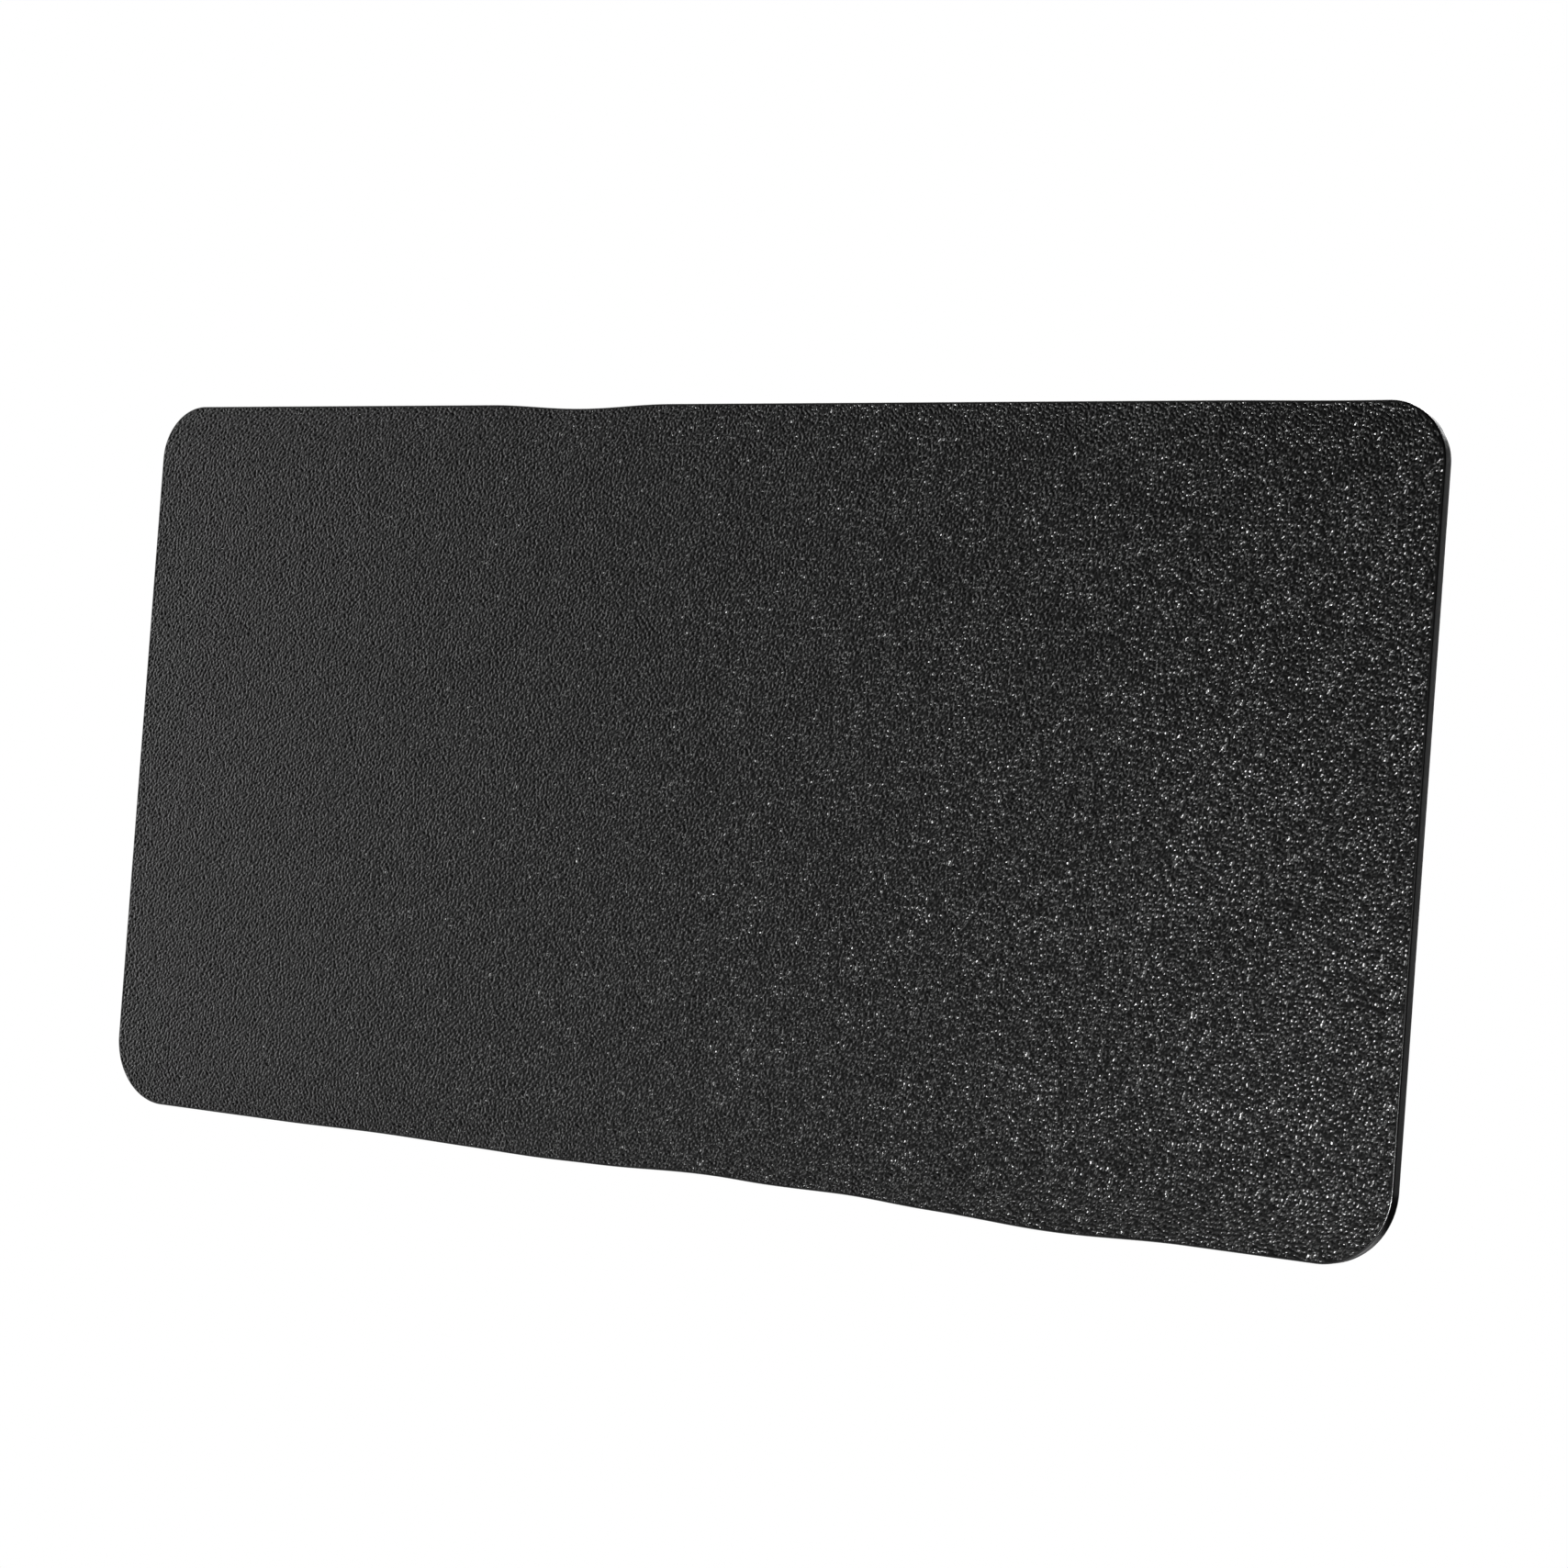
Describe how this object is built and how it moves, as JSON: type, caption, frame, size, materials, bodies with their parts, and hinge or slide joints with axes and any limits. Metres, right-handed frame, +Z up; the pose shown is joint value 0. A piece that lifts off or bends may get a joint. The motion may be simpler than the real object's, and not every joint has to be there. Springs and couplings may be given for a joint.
{
  "type": "wall punch pad",
  "caption": "Thin, wide rectangular striking pad with rounded corners and a pebbled black face, held flat on a wall by hook-and-loop squares.",
  "frame": {"origin": "on the wall, at the centre of the middle adhesive film's wall-side face", "axes": "+Y points into the wall, so the striking face looks along -Y; +X runs along the width, to the right of someone who faces the pad; +Z is up"},
  "size_m": [1.2, 0.015, 0.6],
  "materials": {
    "face_vinyl": "black vinyl skin, satin, embossed all over with a fine pebble grain; smooth side wall",
    "impact_foam": "soft closed-cell foam, matt charcoal",
    "firm_foam": "dense closed-cell foam, matt charcoal",
    "backing_cloth": "coated woven backing cloth, matt black",
    "adhesive_film": "double-sided acrylic adhesive film, off-white",
    "hook_tape": "moulded black hook tape, rows of small hooks",
    "loop_tape": "brushed black loop tape, short napped pile"
  },
  "bodies": {
    "wall_side": {"adhesive_film_1": "adhesive_film", "adhesive_film_2": "adhesive_film", "adhesive_film_3": "adhesive_film", "adhesive_film_4": "adhesive_film", "adhesive_film_5": "adhesive_film", "adhesive_film_6": "adhesive_film", "adhesive_film_7": "adhesive_film", "adhesive_film_8": "adhesive_film", "adhesive_film_9": "adhesive_film", "hook_tape_1": "hook_tape", "hook_tape_2": "hook_tape", "hook_tape_3": "hook_tape", "hook_tape_4": "hook_tape", "hook_tape_5": "hook_tape", "hook_tape_6": "hook_tape", "hook_tape_7": "hook_tape", "hook_tape_8": "hook_tape", "hook_tape_9": "hook_tape"},
    "pad": {"face_skin": "face_vinyl", "impact_foam": "impact_foam", "firm_foam": "firm_foam", "backing_sheet": "backing_cloth", "loop_tape_1": "loop_tape", "loop_tape_2": "loop_tape", "loop_tape_3": "loop_tape", "loop_tape_4": "loop_tape", "loop_tape_5": "loop_tape", "loop_tape_6": "loop_tape", "loop_tape_7": "loop_tape", "loop_tape_8": "loop_tape", "loop_tape_9": "loop_tape"}
  },
  "joints": [
    {"name": "pad_lift", "type": "slide", "parent": "wall_side", "child": "pad", "axis": [0, -1, 0], "range_m": [0, 0.06]}
  ]
}
